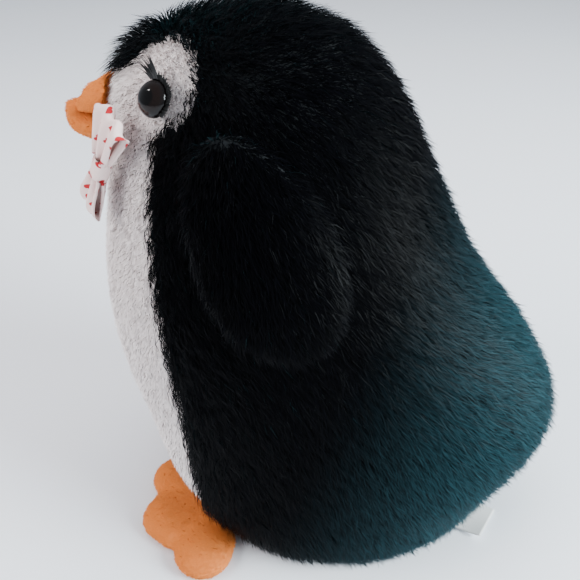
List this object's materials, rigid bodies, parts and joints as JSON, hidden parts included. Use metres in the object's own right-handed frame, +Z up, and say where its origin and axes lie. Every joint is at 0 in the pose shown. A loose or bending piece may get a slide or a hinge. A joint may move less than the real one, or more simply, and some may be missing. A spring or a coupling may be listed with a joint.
{
  "type": "plush penguin",
  "caption": "Standing plush penguin with black pile sides, white belly, orange felt beak and feet, hanging wings, domed eyes and a small cotton bow.",
  "frame": {"origin": "middle of the overall box in plan, at the flat base panel's underside", "axes": "+Z up, the penguin faces -Y, its own left side is +X"},
  "size_m": [0.194, 0.2692, 0.296],
  "materials": {
    "black_plush": "long black pile with a blue-green sheen",
    "white_plush": "short white pile",
    "orange_felt": "short napped orange felt",
    "fibre_fill": "loose polyester fibre",
    "gloss_eye": "polished dome with a dark brown iris",
    "lock_washer": "moulded",
    "black_lash": "fine black fringe",
    "heart_cotton": "white cotton with small red hearts",
    "label_satin": "white satin ribbon, blank"
  },
  "bodies": {
    "body": {"base_panel": "black_plush", "belly_panel": "white_plush", "head_gusset": "black_plush", "side_panel_left": "black_plush", "side_panel_right": "black_plush", "face_patch_left": "white_plush", "face_patch_right": "white_plush", "body_stuffing": "fibre_fill", "eye_left": "gloss_eye", "eye_right": "gloss_eye", "eye_washer_left": "lock_washer", "eye_washer_right": "lock_washer", "eyelash_left": "black_lash", "eyelash_right": "black_lash", "beak_upper": "orange_felt", "beak_upper_filling": "fibre_fill", "beak_lower": "orange_felt", "beak_lower_filling": "fibre_fill", "care_label": "label_satin"},
    "wing_left": {"wing_left_lining": "black_plush", "wing_left_filling": "fibre_fill", "wing_left_outer": "black_plush"},
    "wing_right": {"wing_right_lining": "black_plush", "wing_right_filling": "fibre_fill", "wing_right_outer": "black_plush"},
    "foot_left": {"foot_left_top": "orange_felt", "foot_left_sole": "orange_felt", "foot_left_stuffing": "fibre_fill"},
    "foot_right": {"foot_right_top": "orange_felt", "foot_right_sole": "orange_felt", "foot_right_stuffing": "fibre_fill"},
    "bow": {"bow_loop_left": "heart_cotton", "bow_loop_right": "heart_cotton", "bow_knot": "heart_cotton"}
  },
  "joints": [
    {"name": "wing_left_lift", "type": "hinge", "parent": "body", "child": "wing_left", "pos_m": [0.06085, -0.05131, 0.25755], "axis": [0, -0.891, -0.454], "range_deg": [0, 75]},
    {"name": "wing_right_lift", "type": "hinge", "parent": "body", "child": "wing_right", "pos_m": [-0.06085, -0.05131, 0.25755], "axis": [0, 0.891, 0.454], "range_deg": [0, 75]},
    {"name": "foot_left_flex", "type": "hinge", "parent": "body", "child": "foot_left", "pos_m": [0.05762, -0.0599, 0.014], "axis": [-0.788, -0.6157, 0], "range_deg": [0, 20]},
    {"name": "foot_right_flex", "type": "hinge", "parent": "body", "child": "foot_right", "pos_m": [-0.05762, -0.0599, 0.014], "axis": [-0.788, 0.6157, 0], "range_deg": [0, 20]},
    {"name": "bow_turn", "type": "hinge", "parent": "body", "child": "bow", "pos_m": [0.04378, -0.10572, 0.2314], "axis": [0.6276, -0.7509, 0.2056], "range_deg": [-60, 0]}
  ]
}
